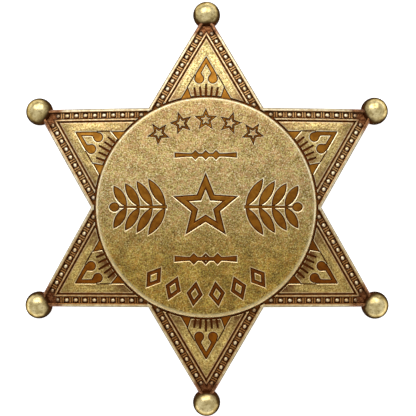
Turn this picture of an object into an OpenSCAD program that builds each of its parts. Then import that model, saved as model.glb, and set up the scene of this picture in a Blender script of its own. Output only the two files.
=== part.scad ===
// Six-pointed star badge with ball tips and a round centre disc.
// It lies face up: +Z is the front, +Y the top arm, and z = 0 the plane that its six balls rest on.
// The plate is a dome, so every height of the relief is a radius from one point, the middle of the dome.

/* [Star plate] */
// Distance from the middle to the point where the two edges of an arm would meet
star_tip_r = 36; // [34.5:0.25:39]
// Radius of the domed face of the flat panels
dome_r = 110; // [95:1:160]
// Thickness of the plate under its panels
plate_t = 1.8; // [1.4:0.1:2.2]
// Diameter of the ball on each tip
ball_d = 5; // [4.4:0.1:5.4]
// Distance of a ball's centre inside the tip
ball_inset = 0.5; // [0.2:0.05:0.8]

/* [Border] */
// Width of the raised outer rail
outer_rail_w = 0.5; // [0.35:0.05:0.6]
// Width of the sunk channel that holds the row of beads
channel_w = 1.3; // [1.2:0.05:1.5]
// Width of the raised inner rail
inner_rail_w = 0.35; // [0.25:0.05:0.5]
// Width of the groove between the inner rail and the panel
groove_w = 0.3; // [0.2:0.05:0.4]
// Height of the rails above the panels
rail_h = 0.15; // [0.05:0.05:0.3]
// Depth of the channel below the panels
channel_depth = 0.5; // [0.35:0.05:0.65]
// Depth of the groove below the panels
groove_depth = 0.4; // [0.25:0.05:0.6]
// Diameter of a bead
bead_d = 0.85; // [0.6:0.05:0.95]
// Height of a bead's centre above the channel's floor
bead_lift = 0.1; // [0:0.05:0.2]
// Distance between the centres of two beads
bead_pitch = 1.715; // [1.5:0.005:2.2]
// Distance from the middle of an edge to its first bead
bead_start = 11.7; // [11.5:0.05:13]
// Space between the last bead and the ball
bead_end_gap = 0.05; // [0.02:0.01:0.3]

/* [Arm ornament] */
// Width of the plain frame inside the groove
frame_w = 1.65; // [1.5:0.05:1.8]
// Width of the thin line inside the frame
line_w = 0.18; // [0.1:0.02:0.3]
// Depth of the ornament's recesses and of the thin line
recess_depth = 0.4; // [0.3:0.05:0.6]
// Radius of the two round lobes
lobe_r = 0.85; // [0.75:0.05:0.9]
// Distance from the field's tip down to the lobes' centres
lobe_drop = 3.9; // [3.8:0.05:4.1]
// Distance from the field's tip down to the point of the spade
spade_drop = 1.6; // [1.3:0.05:1.8]
// Distance from the field's tip down to the spade's shoulders
shoulder_drop = 2.85; // [2.7:0.05:3]
// Half the width of the spade at its shoulders
shoulder_w = 0.86; // [0.75:0.02:0.95]
// Length of the middle ray outside the disc
ray_l = 2.7; // [2:0.1:2.8]
// Length of the other rays outside the disc
side_ray_l = 2.1; // [1.5:0.1:2.2]
// Width of a ray at the disc
ray_w = 0.3; // [0.2:0.02:0.4]
// Angle between two rays
ray_step = 5.4; // [4.8:0.1:5.8]
// Distance from the middle to the point that the rays fan out from
ray_fan_r = 9.5; // [8:0.5:11]
// Height of the corner triangles outside the disc
corner_h = 1.9; // [1.6:0.05:2]
// Half the free width between the corner triangles at the disc
corner_x = 2.75; // [2.6:0.05:2.9]

/* [Centre disc] */
// Diameter of the disc
disc_d = 40; // [39:0.1:40.6]
// Height of the disc's face above the panels
disc_rise = 0.8; // [0.5:0.05:1.2]
// Depth of the seat that the disc is let into
seat_depth = 0.4; // [0.2:0.05:0.6]
// Width of the open ring round the disc
seat_ring_w = 0.3; // [0.2:0.05:0.4]
// Width and height of the bevel on the disc's rim
rim_bevel = 0.35; // [0.2:0.05:0.5]
// Depth of the recesses in the disc
motif_depth = 0.4; // [0.3:0.05:0.5]

/* [Disc motifs] */
// Point radius of the big star in the middle
big_star_r = 6.2; // [5.5:0.1:6.5]
// Point radius of the raised star inside it
big_star_core_r = 3.1; // [2.5:0.1:3.6]
// Distance from the middle to the foot of a laurel sprig
sprig_x = 6.9; // [6.5:0.1:7.2]
// Length of a sprig's stem
sprig_l = 8.9; // [8.7:0.1:9.4]
// Width of the stem
stem_w = 0.7; // [0.5:0.05:0.9]
// Length of the first leaf
leaf_l = 6; // [5:0.1:6.2]
// Width of a leaf
leaf_w = 1.75; // [1.4:0.05:1.8]
// Distance from leaf to leaf along the stem
leaf_pitch = 2.35; // [2.3:0.05:2.45]
// Distance from the middle to the small motifs' centres
small_ring_r = 15.7; // [15.5:0.1:16]
// Point radius of a small star
small_star_r = 2.2; // [2:0.05:2.35]
// Point radius of the raised star inside a small star
small_star_core_r = 0.9; // [0.7:0.05:1.1]
// Half the height of a lozenge
lozenge_h = 2.3; // [2:0.05:2.4]
// Half the width of a lozenge
lozenge_w = 1.5; // [1.3:0.05:1.6]
// Half the height of the raised core inside a lozenge
lozenge_core_h = 1; // [0.8:0.05:1.1]
// Distance from the middle to the bar ornaments
bar_y = 9.3; // [9:0.05:9.5]
// Half the length of a bar ornament
bar_l = 5.6; // [5:0.1:6]
// Half the thickness of the bar
bar_h = 0.33; // [0.28:0.01:0.4]
// Half the thickness of the bar's flared ends
bar_end_h = 0.5; // [0.45:0.01:0.6]
// Half the height of a diamond on the bar
diamond_r = 0.93; // [0.85:0.01:0.98]
// Distance between two diamonds
diamond_pitch = 1.85; // [1.75:0.01:1.9]

/* [Enamel] */
// Thickness of the enamel in the recesses
enamel_t = 0.2; // [0.15:0.01:0.22]
// Space round and under the enamel
enamel_gap = 0.04; // [0.03:0.005:0.06]
// Space between the disc and its seat, and between the pin's feet and the plate
fit_gap = 0.05; // [0.03:0.01:0.08]

/* [Pin on the back] */
// Distance from the middle up to the pin
pin_y = 6; // [4:0.5:8]
// Diameter of the pin's stem
stem_d = 1; // [0.8:0.05:1.2]
// Height of the stem's axis above the resting plane
stem_z = 2; // [1.9:0.05:2.2]
// Distance from the middle to each foot
foot_x = 13; // [12:0.5:14]
// Length and width of a foot's pad on the plate
pad_l = 5; // [4:0.5:6]
// Thickness of a foot's pad
pad_t = 0.8; // [0.6:0.1:1]
// Width of the post between pad and stem, along the stem
post_w = 1.6; // [1.2:0.1:2]
// Depth of the post, across the stem
post_depth = 1.8; // [1.4:0.1:1.9]
// Radius of the round end that holds the stem
eye_r = 1.15; // [1:0.05:1.3]
// Length of the stem past the catch
point_l = 3; // [2:0.5:4]

/* [Hidden] */
$fn = 96;
arms = 6;
brass = [0.72, 0.60, 0.34];
amber = [0.52, 0.31, 0.08];
dark_brass = [0.55, 0.46, 0.27];

// The edges of the star are six lines, each at this distance from the middle
edge_r = star_tip_r / 2;
edge_n = [cos(30), sin(30)];
edge_t = [-sin(30), cos(30)];
tip_s = edge_r * tan(60);

// Distances from the edge line in to each step of the border
channel_d = outer_rail_w;
inner_rail_d = channel_d + channel_w;
groove_d = inner_rail_d + inner_rail_w;
panel_d = groove_d + groove_w;
field_d = panel_d + frame_w;
bead_line_d = channel_d + channel_w / 2;
// The recesses end in the middle of the thin line, so that the line stays open round them
field_r = edge_r - field_d - line_w / 2;
field_tip_r = 2 * field_r;

// Radii of the relief's steps, from the middle of the dome
rail_level = dome_r + rail_h;
back_level = dome_r - plate_t;
channel_level = dome_r - channel_depth;
groove_level = dome_r - groove_depth;
recess_level = dome_r - recess_depth;
seat_level = dome_r - seat_depth;
disc_back_level = seat_level + fit_gap;
disc_level = dome_r + disc_rise;
motif_level = disc_level - motif_depth;
bead_level = channel_level + bead_lift;
ball_level = dome_r - plate_t / 2;

disc_r = disc_d / 2;
seat_r = disc_r + seat_ring_w;
ball_r = star_tip_r - ball_inset;
// Height that a point of a level has above the middle of the dome
function level_z(level, r) = sqrt(level * level - r * r);
// The dome's middle lies so deep that the balls touch z = 0
dome_z = ball_d / 2 - level_z(ball_level, ball_r);
// Length that a shape that cuts or limits another one reaches past it
spare = 1;
prism_z = level_z(back_level, star_tip_r) - spare;
prism_h = disc_level + spare - prism_z;

// Beads stand along an edge up to the ball, and the disc's seat cuts into the first one
bead_reach_out = (ball_d + bead_d) / 2 + bead_end_gap;
ball_s = tip_s - ball_inset * cos(30);
bead_last_s = ball_s - sqrt(pow(bead_reach_out, 2) - pow(bead_line_d - ball_inset / 2, 2));
bead_count = floor((bead_last_s - bead_start) / bead_pitch) + 1;

lobe_y = field_tip_r - lobe_drop;
lobe_x = (field_r - lobe_r - lobe_y * edge_n[1]) / edge_n[0];
// Where the band's lower side ends in a lobe: share of the lobe's radius, and angle above level
lobe_entry_share = 0.9;
lobe_entry_angle = 50;
corner_y = disc_r + corner_h;
ray_top_share = 0.45;
// The sunk shapes near the disc run on to the middle of its open ring
inner_clip_r = disc_r + seat_ring_w / 2;
// Each dome is turned so that its seam crosses no corner of the star
dome_turn = 13;
// Sides of the domes, which are large, in the preview
dome_fn = 240;

small_star_step = 16.3;
small_stars = 5;
lozenge_step = 14.6;
lozenges = 6;
star_waist = 0.44;
leaves = 4;
leaf_angle = 58;
leaf_taper = 0.08;
end_leaf_share = 0.33;
stem_foot_share = 0.1;
stem_end_share = 0.5;
bar_flare_share = 0.6;
open_outer_r = diamond_r * 0.72;
open_inner_r = diamond_r * 0.42;
point_share = 0.25;

// moved_in() gives a corner list with each side moved in by e, for corners that run counter-clockwise
function direction(a, b) = (b - a) / norm(b - a);
function inward(a, b) = let (v = direction(a, b)) [-v[1], v[0]];
function moved_corner(a, b, c, e) =
    let (m = inward(a, b), n = inward(b, c)) b + e * (m + n) / (1 + m * n);
function moved_in(pts, e) =
    let (n = len(pts))
    [for (i = [0 : n - 1]) moved_corner(pts[(i + n - 1) % n], pts[i], pts[(i + 1) % n], e)];
// The same corners on the other side of the Y axis, in an order that keeps them counter-clockwise
function mirrored(pts) = [for (i = [len(pts) - 1 : -1 : 0]) [-pts[i][0], pts[i][1]]];
function on_side(side, pts) = side > 0 ? pts : mirrored(pts);

function star_points(r) =
    [for (i = [0 : 9]) (i % 2 == 0 ? r : r * star_waist) * [cos(90 + 36 * i), sin(90 + 36 * i)]];
function lozenge_points(w, h) = [[0, h], [-w, 0], [0, -h], [w, 0]];

// The star's outline with each edge moved in by d
module star_outline(d) {
    for (turn = [90, 270]) rotate(turn) circle(r = 2 * (edge_r - d), $fn = 3);
}

module outline_ring(outer_d, inner_d) {
    difference() {
        star_outline(outer_d);
        star_outline(inner_d);
    }
}

module dome(level) {
    rotate(dome_turn) sphere(r = level, $fn = dome_fn);
}

module outside(r) {
    difference() {
        children();
        circle(r = r);
    }
}

module on_arms() {
    for (i = [0 : arms - 1]) rotate(i * 360 / arms) children();
}

// A flat shape as an upright prism through the whole relief
module prism() {
    translate([0, 0, prism_z]) linear_extrude(prism_h) children();
}

// The part of a prism between two levels of the dome
module layer(low, high) {
    intersection() {
        prism() children();
        difference() {
            dome(high);
            dome(low);
        }
    }
}

// All of a prism above a level, to cut the relief down to it
module above(level) {
    difference() {
        prism() children();
        dome(level);
    }
}

// One piece set on a level of the dome at a place seen from above
module on_level(level, place) {
    translate([place[0], place[1], level_z(level, norm(place))]) children();
}

// The V-shaped band with a round lobe at each end, round the raised spade
module band_recess(e) {
    lobe = [lobe_x, lobe_y];
    touch = lobe + lobe_r * edge_n;
    inner = lobe + lobe_entry_share * lobe_r * [-cos(lobe_entry_angle), sin(lobe_entry_angle)];
    shoulder = [shoulder_w, field_tip_r - shoulder_drop];
    right = [shoulder, inner, lobe, touch];
    spade_tip = [0, field_tip_r - spade_drop];
    polygon(moved_in(concat([[0, field_tip_r]], mirrored(right), [spade_tip], right), e));
    for (side = [-1, 1]) translate([side * lobe_x, lobe_y]) circle(r = lobe_r - e);
}

// The corner triangle between the frame and the disc
module corner_recess(side, e) {
    low_y = disc_r - corner_h;
    function field_x(y) = (field_r - y * edge_n[1]) / edge_n[0];
    top = [field_x(corner_y), corner_y];
    slope = (top[0] - corner_x) / corner_h;
    right = [top, [corner_x - slope * corner_h, low_y], [field_x(low_y), low_y]];
    polygon(moved_in(on_side(side, right), e));
}

module rays() {
    half = ray_w / 2;
    top_half = half * ray_top_share;
    foot_y = disc_r - ray_fan_r - spare;
    for (i = [-2 : 2]) translate([0, ray_fan_r]) rotate(i * ray_step) {
        top_y = disc_r - ray_fan_r + (i == 0 ? ray_l : side_ray_l);
        polygon([[-half, foot_y], [half, foot_y], [top_half, top_y], [-top_half, top_y]]);
    }
}

module arm_recesses(e) {
    band_recess(e);
    for (side = [-1, 1]) corner_recess(side, e);
}

module beads() {
    on_arms() for (side = [-1, 1], i = [0 : bead_count - 1]) {
        place = (edge_r - bead_line_d) * edge_n + (bead_start + i * bead_pitch) * edge_t;
        on_level(bead_level, [side * place[0], place[1]]) sphere(d = bead_d);
    }
}

module relief() {
    difference() {
        layer(back_level, rail_level) star_outline(0);
        above(channel_level) outside(inner_clip_r) outline_ring(channel_d, inner_rail_d);
        above(dome_r) star_outline(groove_d + groove_w / 2);
        above(groove_level) outside(inner_clip_r) outline_ring(groove_d, panel_d);
        above(recess_level) outside(inner_clip_r) {
            outline_ring(field_d, field_d + line_w);
            on_arms() {
                arm_recesses(0);
                rays();
            }
        }
    }
}

module star() {
    color(brass) translate([0, 0, dome_z]) {
        difference() {
            union() {
                relief();
                beads();
            }
            above(seat_level) circle(r = seat_r);
        }
        on_arms() on_level(ball_level, [0, ball_r]) sphere(d = ball_d);
    }
}

module star_enamel() {
    color(amber) translate([0, 0, dome_z])
        layer(recess_level + enamel_gap, recess_level + enamel_gap + enamel_t)
            outside(seat_r + enamel_gap) on_arms() arm_recesses(enamel_gap);
}

module leaf(length, e) {
    round_r = (length * length + leaf_w * leaf_w) / (4 * leaf_w);
    intersection_for (side = [-1, 1])
        translate([length / 2, side * (round_r - leaf_w / 2)]) circle(r = round_r - e);
}

// A laurel sprig that points to the right, with its foot at the origin
module sprig(e) {
    half = stem_w / 2;
    end_half = half * stem_end_share;
    polygon(moved_in([[0, half], [0, -half], [sprig_l, -end_half], [sprig_l, end_half]], e));
    for (i = [0 : leaves - 1], side = [-1, 1])
        translate([leaf_pitch * (i + stem_foot_share), 0]) rotate(side * leaf_angle)
            leaf(leaf_l * (1 - leaf_taper * i), e);
    translate([sprig_l - half, 0]) leaf(leaf_l * end_leaf_share, e);
}

module outlined_star(r, core_r, e) {
    difference() {
        polygon(moved_in(star_points(r), e));
        polygon(moved_in(star_points(core_r), -e));
    }
}

module outlined_lozenge(w, h, core_h, e) {
    difference() {
        polygon(moved_in(lozenge_points(w, h), e));
        polygon(moved_in(lozenge_points(w * core_h / h, core_h), -e));
    }
}

// A bar with flared ends and three diamonds. An open middle diamond is only an outline.
module bar_ornament(open_middle, e) {
    flare_x = bar_l * bar_flare_share;
    right = [[flare_x, -bar_h], [bar_l, -bar_end_h], [bar_l, bar_end_h], [flare_x, bar_h]];
    difference() {
        union() {
            polygon(moved_in(concat(right, mirrored(right)), e));
            for (i = [-1 : 1]) translate([i * diamond_pitch, 0])
                polygon(moved_in(lozenge_points(diamond_r, diamond_r), e));
        }
        if (open_middle) difference() {
            polygon(moved_in(lozenge_points(open_outer_r, open_outer_r), -e));
            polygon(moved_in(lozenge_points(open_inner_r, open_inner_r), e));
        }
    }
}

module disc_motifs(e) {
    outlined_star(big_star_r, big_star_core_r, e);
    for (turn = [0, 180]) rotate(turn) translate([sprig_x, 0]) sprig(e);
    for (i = [0 : small_stars - 1])
        rotate((i - (small_stars - 1) / 2) * small_star_step) translate([0, small_ring_r])
            outlined_star(small_star_r, small_star_core_r, e);
    for (i = [0 : lozenges - 1])
        rotate((i - (lozenges - 1) / 2) * lozenge_step) translate([0, -small_ring_r])
            outlined_lozenge(lozenge_w, lozenge_h, lozenge_core_h, e);
    translate([0, bar_y]) bar_ornament(false, e);
    translate([0, -bar_y]) bar_ornament(true, e);
}

// A cone round the rim meets the domed face one bevel's width inside the rim
module centre_disc() {
    rim_z = level_z(disc_level, disc_r - rim_bevel);
    face_r = disc_r - 2 * rim_bevel;
    color(brass) translate([0, 0, dome_z]) difference() {
        intersection() {
            difference() {
                dome(disc_level);
                dome(disc_back_level);
            }
            union() {
                translate([0, 0, prism_z]) cylinder(r = disc_r, h = rim_z - rim_bevel - prism_z);
                translate([0, 0, rim_z - rim_bevel])
                    cylinder(r1 = disc_r, r2 = face_r, h = disc_r - face_r);
                cylinder(r = face_r, h = disc_level + spare);
            }
        }
        above(motif_level) disc_motifs(0);
    }
}

module disc_enamel() {
    color(amber) translate([0, 0, dome_z])
        layer(motif_level + enamel_gap, motif_level + enamel_gap + enamel_t) disc_motifs(enamel_gap);
}

// A pad that fits the hollow of the dome, with a post that ends in a round eye on the stem's axis
module foot(side) {
    pad_z = level_z(back_level - fit_gap, norm([foot_x + pad_l / 2, pin_y + pad_l / 2])) + dome_z - pad_t;
    intersection() {
        translate([-pad_l / 2, -pad_l / 2, pad_z]) cube([pad_l, pad_l, pad_t + spare]);
        translate([-side * foot_x, -pin_y, dome_z]) dome(back_level - fit_gap);
    }
    translate([-post_w / 2, -post_depth / 2, stem_z])
        cube([post_w, post_depth, pad_z + pad_t / 2 - stem_z]);
    translate([-post_w / 2, 0, stem_z]) rotate([0, 90, 0]) cylinder(r = eye_r, h = post_w);
}

module pin_back() {
    tip_x = foot_x + post_w / 2 + point_l;
    stem_r = stem_d / 2;
    color(dark_brass) {
        for (side = [-1, 1]) translate([side * foot_x, pin_y, 0]) foot(side);
        translate([-foot_x, pin_y, stem_z]) rotate([0, 90, 0]) {
            cylinder(r = stem_r, h = foot_x + tip_x - point_l);
            translate([0, 0, foot_x + tip_x - point_l])
                cylinder(r1 = stem_r, r2 = stem_r * point_share, h = point_l);
        }
    }
}

star();
centre_disc();
star_enamel();
disc_enamel();
pin_back();
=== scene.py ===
# %% [markdown]
# # A cast star badge with ball tips
#
# The real badge is two pieces of cast brass: a domed six-pointed star, and a round disc let into
# its middle. Both were dipped in a dark brown patina and then rubbed, so that high places are pale
# gold and low places stay dark. The ornament is filled with amber enamel.
#
# This lesson models the relief on a flat sheet, where insets and cuts are simple, and bends it
# into a dome at the end. The other way, cutting into a dome, makes every cutter a curved shape.

# %% Load the frame
import math
from math import asin, cos, degrees, radians, sin, sqrt
import bpy
import bmesh
from mathutils import Matrix, Vector


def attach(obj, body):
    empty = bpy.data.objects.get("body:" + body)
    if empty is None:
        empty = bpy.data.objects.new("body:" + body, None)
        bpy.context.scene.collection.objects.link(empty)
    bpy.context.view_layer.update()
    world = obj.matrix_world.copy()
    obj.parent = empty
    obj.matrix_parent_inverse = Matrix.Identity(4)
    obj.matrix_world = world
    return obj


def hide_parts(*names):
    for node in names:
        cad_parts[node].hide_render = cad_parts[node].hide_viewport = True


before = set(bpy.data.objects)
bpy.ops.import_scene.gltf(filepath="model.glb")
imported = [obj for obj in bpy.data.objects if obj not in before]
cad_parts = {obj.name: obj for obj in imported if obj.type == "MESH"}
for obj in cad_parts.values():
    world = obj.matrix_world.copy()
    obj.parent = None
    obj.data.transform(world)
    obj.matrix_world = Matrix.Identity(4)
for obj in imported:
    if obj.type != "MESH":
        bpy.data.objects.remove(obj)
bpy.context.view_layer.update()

print("CAD nodes:", ", ".join(sorted(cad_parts)))

# %% [markdown]
# ## Sizes
#
# All sizes are millimetres until the bend into the dome, which also brings them to metres. On the
# flat sheet, x and y are true and the height h is counted from the face of the flat panels. A
# six-pointed star needs only the distance to its points: its straight edges lie half as far out.

# %% Driving sizes of the star
MM = 0.001
ARMS = 6
STAR_TIP = 36.0
EDGE = STAR_TIP / 2
DOME_R = 110.0
PLATE_T = 1.8
BALL_R = 2.5
BALL_AT = STAR_TIP - 0.5
DISC_R = 20.0
DISC_RISE = 0.8
SEAT_DEPTH = 0.4
SEAT_R = DISC_R + 0.28
FIT_GAP = 0.05
BALL_UP_DOME = sqrt((DOME_R - PLATE_T / 2) ** 2 - BALL_AT ** 2)
DOME_Z = BALL_R - BALL_UP_DOME
print(f"middle of the dome at z = {DOME_Z:.3f} mm")


# %% [markdown]
# ## Hand tools
#
# An operator acts on all that is selected, so every tool here starts with nothing selected but
# its own piece. A drawn outline is a circle primitive whose corners are moved to their places, as
# a pattern maker scribes a shape on a sheet. Drawing with a curve object would do too, but its
# corners come out as a mesh only after a conversion.

# %% Select, draw and name
def only(*pieces):
    if bpy.context.object and bpy.context.object.mode != "OBJECT":
        bpy.ops.object.mode_set(mode="OBJECT")
    bpy.ops.object.select_all(action="DESELECT")
    for piece in pieces:
        piece.select_set(True)
    bpy.context.view_layer.objects.active = pieces[0]


def edit(piece):
    only(piece)
    bpy.ops.object.mode_set(mode="EDIT")
    bpy.ops.mesh.select_mode(type="FACE")
    bpy.ops.mesh.select_all(action="SELECT")


def named(name):
    bpy.context.object.name = name
    bpy.context.object.data.name = name
    return bpy.context.object


def outline(name, corners, h=0.0):
    """A flat face with these corners, which run counter-clockwise."""
    bpy.ops.object.select_all(action="DESELECT")
    bpy.ops.mesh.primitive_circle_add(vertices=len(corners), fill_type="NGON")
    piece = named(name)
    for vertex, corner in zip(piece.data.vertices, corners):
        vertex.co = (corner[0], corner[1], h)
    return piece


print("drawing tools ready")


# %% Extrude, pick and finish
def extrude(h):
    bpy.ops.mesh.extrude_region_move(TRANSFORM_OT_translate={"value": (0, 0, h)})


def pick(piece, end):
    """Select one face in edit mode: the lowest where end is min, or the highest where it is max."""
    bpy.ops.mesh.select_all(action="SELECT")
    bpy.ops.mesh.normals_make_consistent(inside=False)
    bpy.ops.mesh.select_all(action="DESELECT")
    mesh = bmesh.from_edit_mesh(piece.data)
    end(mesh.faces, key=lambda face: face.calc_center_median().z).select_set(True)
    bmesh.update_edit_mesh(piece.data)


def set_slots(piece, *materials):
    for material in materials:
        piece.data.materials.append(material)


def finish_as(piece, slot):
    piece.active_material_index = slot
    bpy.ops.object.material_slot_assign()


print("relief tools ready")

# %% [markdown]
# ## Metals first
#
# On the real badge one casting shows many finishes, because rubbing reaches each height
# differently. They could be painted by a mask, but a mask on edges this fine looks smeared. Here
# each ring of the relief has its own material, and a cut takes its finish from the cutter. So the
# materials exist before the first cut, empty for now, and get their nodes further down.

# %% Material slots
brass = bpy.data.materials.new("rubbed_brass")
lip_brass = bpy.data.materials.new("worn_rail_brass")
inner_brass = bpy.data.materials.new("inner_rail_brass")
edge_brass = bpy.data.materials.new("recess_lip_brass")
dark_brass = bpy.data.materials.new("patina_brass")
floor_brass = bpy.data.materials.new("channel_floor_brass")
slope_brass = bpy.data.materials.new("rail_slope_brass")
bar_brass = bpy.data.materials.new("cross_bar_brass")
disc_brass = bpy.data.materials.new("rubbed_disc_brass")
ball_brass = bpy.data.materials.new("polished_ball_brass")
bead_brass = bpy.data.materials.new("bead_brass")
enamel = bpy.data.materials.new("amber_enamel")
enamel_edge = bpy.data.materials.new("enamel_edge")
# slot numbers on the star; the disc and the cutters use the first three
FACE, LIP, DARK, FLOOR, SLOPE, INNER, SHOULDER = range(7)
print("finishes:", len(bpy.data.materials))

# %% [markdown]
# ## The star's border
#
# A plain rail runs along the edge of the cast star. Inside it come a sunk channel for the beads, a
# thin rail, a groove and the flat frame of the panel. The outline is a circle of twelve corners
# with every second one pulled in.
#
# A bevelled curve could be swept along the outline, but it would need trimming at every point. So
# each step of the border is one inset with a depth, as a pattern maker cuts step by step from the
# edge in. An inset keeps every line parallel to the edge and mitres it at the points.

# %% Border profile
RAIL_H = 0.15
CHANNEL_H = -0.5
GROOVE_H = -0.32
SIDE_TOP_H = -0.25
# distance in from the edge, height, and finish of the ring that ends there
OUTER_RAIL = [(0.09, -0.05, SLOPE), (0.18, 0.08, SLOPE), (0.25, RAIL_H, LIP), (0.48, RAIL_H, LIP),
              (0.60, 0.09, SHOULDER)]
CHANNEL = [(0.67, -0.42, DARK), (0.74, CHANNEL_H, DARK), (1.73, CHANNEL_H, FLOOR),
           (1.82, -0.42, FLOOR)]
INNER_RAIL = [(1.90, 0.08, DARK), (1.97, RAIL_H, INNER), (2.15, RAIL_H, INNER),
              (2.21, 0.08, SHOULDER)]
GROOVE = [(2.26, -0.26, DARK), (2.31, GROOVE_H, FLOOR), (2.42, GROOVE_H, FLOOR),
          (2.47, -0.26, FLOOR), (2.53, -0.07, SHOULDER), (2.70, 0.0, INNER)]
BORDER = OUTER_RAIL + CHANNEL + INNER_RAIL + GROOVE
print("border profile:", len(BORDER), "steps over", BORDER[-1][0], "mm")

# %% Plate
WAIST = 1 / sqrt(3)


def star_corners(tip, waist, points):
    """Corners of a star, counter-clockwise from its top point."""
    step = math.tau / (2 * points)
    reach = [tip if i % 2 == 0 else tip * waist for i in range(2 * points)]
    return [(-r * sin(i * step), r * cos(i * step)) for i, r in enumerate(reach)]


star = outline("cast_star", star_corners(STAR_TIP, WAIST, ARMS), -PLATE_T)
set_slots(star, brass, lip_brass, dark_brass, floor_brass, slope_brass, inner_brass, bar_brass)
edit(star)
extrude(PLATE_T + SIDE_TOP_H)
bpy.ops.mesh.select_all(action="SELECT")
finish_as(star, SLOPE)
bpy.ops.object.mode_set(mode="OBJECT")
top = max(star.data.polygons, key=lambda face: face.center.z)
print("plate:", len(star.data.polygons), "faces, top at", round(top.center.z, 3), "mm")

# %% Border, one inset a step
edit(star)
pick(star, max)
done_d, done_h = 0.0, SIDE_TOP_H
for d, h, finish in BORDER:
    finish_as(star, finish)
    bpy.ops.mesh.inset(thickness=d - done_d, depth=h - done_h)
    done_d, done_h = d, h
finish_as(star, FACE)
bpy.ops.object.mode_set(mode="OBJECT")
print("border:", len(star.data.polygons), "faces")

# %% [markdown]
# ## Cutters with a flared top
#
# A recess in rubbed brass has three parts: a worn lip, a wall and a floor. They could be made by
# cutting a sharp recess and bevelling its rim, but a bevel fails where two rims come close. The
# cutter here has the same three parts, so one boolean makes them all. It starts as an outline
# wider than the recess, just above the metal. An inset that goes down half as far as it goes in
# makes the sloping lip, and an extrude goes down to the floor.

# %% Offset, mirrored and turned outlines
def moved_in(corners, e):
    """The corner list with each side moved in by e. It runs counter-clockwise."""
    points = [Vector(corner) for corner in corners]
    moved_points = []
    for i, b in enumerate(points):
        a, c = points[i - 1], points[(i + 1) % len(points)]
        u, v = (b - a).normalized(), (c - b).normalized()
        m, n = Vector((-u.y, u.x)), Vector((-v.y, v.x))
        moved_points.append(tuple(b + (m + n) * (e / (1 + m.dot(n)))))
    return moved_points


def mirrored(corners):
    return [(-x, y) for x, y in reversed(corners)]


def turned(corners, angle, centre=(0, 0)):
    x0, y0 = centre
    c, s = cos(angle), sin(angle)
    return [(x0 + c * (x - x0) - s * (y - y0), y0 + s * (x - x0) + c * (y - y0)) for x, y in corners]


square = [(0, 0), (2, 0), (2, 2), (0, 2)]
print("a 2 mm square moved in by 0.5 mm starts at", moved_in(square, 0.5)[0])


# %% Cut, join and copy round
def finish_with(piece, modifier):
    only(piece)
    bpy.ops.object.modifier_apply(modifier=modifier.name)


def cut(piece, cutter_piece, overlaps=False):
    """Cut a piece with a cutter, which may be many shapes that overlap each other."""
    tool = piece.modifiers.new("cut", "BOOLEAN")
    tool.operation = "DIFFERENCE"
    tool.solver = "EXACT"
    tool.material_mode = "TRANSFER"
    tool.use_self = overlaps
    tool.object = cutter_piece
    finish_with(piece, tool)
    bpy.data.objects.remove(cutter_piece)


def join(name, pieces):
    only(*pieces)
    bpy.ops.object.join()
    return named(name)


def copies_round(piece):
    """Copies of a piece's mesh, turned about the middle to every arm, joined to it."""
    edit(piece)
    for _ in range(ARMS - 1):
        bpy.ops.mesh.duplicate()
        bpy.ops.transform.rotate(value=-math.tau / ARMS, orient_axis="Z",
                                 center_override=(0, 0, 0))
    bpy.ops.object.mode_set(mode="OBJECT")


print("cutting tools ready")

# %% Flared cutter
LIFT = 0.03
LIP_SLOPE = 0.5
CUTTER_TOP = 0.5
CORE_ROOT = 0.2
CORE_TOP = 0.8


def standing_core(corners, floor_h, lip_h, run):
    """An island that stays standing in a recess, with a worn lip of its own."""
    piece = outline("core", corners, floor_h - CORE_ROOT)
    set_slots(piece, brass, edge_brass, dark_brass)
    edit(piece)
    finish_as(piece, DARK)
    extrude(lip_h - floor_h + CORE_ROOT)
    pick(piece, max)
    finish_as(piece, LIP)
    bpy.ops.mesh.inset(thickness=run, depth=run * LIP_SLOPE)
    extrude(CORE_TOP)
    bpy.ops.object.mode_set(mode="OBJECT")
    return piece


def cutter(name, corners, floor_h, lip, face_h=0.0, core=None, lip_finish=LIP):
    """A cutter for a recess with these corners. A core is the outline of an island in it."""
    run = lip + LIFT / LIP_SLOPE
    lip_h = face_h - lip * LIP_SLOPE
    piece = outline(name, moved_in(corners, -run), face_h + LIFT)
    set_slots(piece, brass, edge_brass, dark_brass)
    edit(piece)
    extrude(CUTTER_TOP)
    pick(piece, min)
    finish_as(piece, lip_finish)
    bpy.ops.mesh.inset(thickness=run, depth=run * LIP_SLOPE)
    finish_as(piece, DARK)
    extrude(floor_h - lip_h)
    bpy.ops.object.mode_set(mode="OBJECT")
    if core:
        cut(piece, standing_core(core, floor_h, lip_h, run))
    return piece


print("flared cutters start", LIFT, "mm above the face")

# %% [markdown]
# ## The ornament of an arm
#
# Each arm carries a V-shaped band that ends in two round lobes, with a spade between them. All
# three are cast in one recess. A curve drawn by eye could follow them, but then the two sides
# would differ. So one side is worked out from a few sizes, its mirror image closes the outline,
# and the cutter is copied to the other arms later.

# %% Band with two lobes
RECESS_H = -0.4
LIP_W = 0.13
# directions square to the right edge of the top arm and along it
EDGE_TURN = radians(30)
EDGE_OUT = Vector((cos(EDGE_TURN), sin(EDGE_TURN)))
EDGE_WAY = Vector((-sin(EDGE_TURN), cos(EDGE_TURN)))
# how far the sides and the point of the field lie from the middle
FIELD_R = 13.81
FIELD_TIP = 2 * FIELD_R
LOBE_R = 0.92
LOBE_X = 1.24
LOBE_Y = FIELD_TIP - 4.3
LOBE_FROM, LOBE_TO, LOBE_STEPS = 30, -230, 26
ABOVE_LOBE = 0.5
TIP_BLUNT = 0.16
SPADE_SHOULDER = (0.86, FIELD_TIP - 3.2)
SPADE_TIP = (0.0, FIELD_TIP - 1.6)


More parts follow.
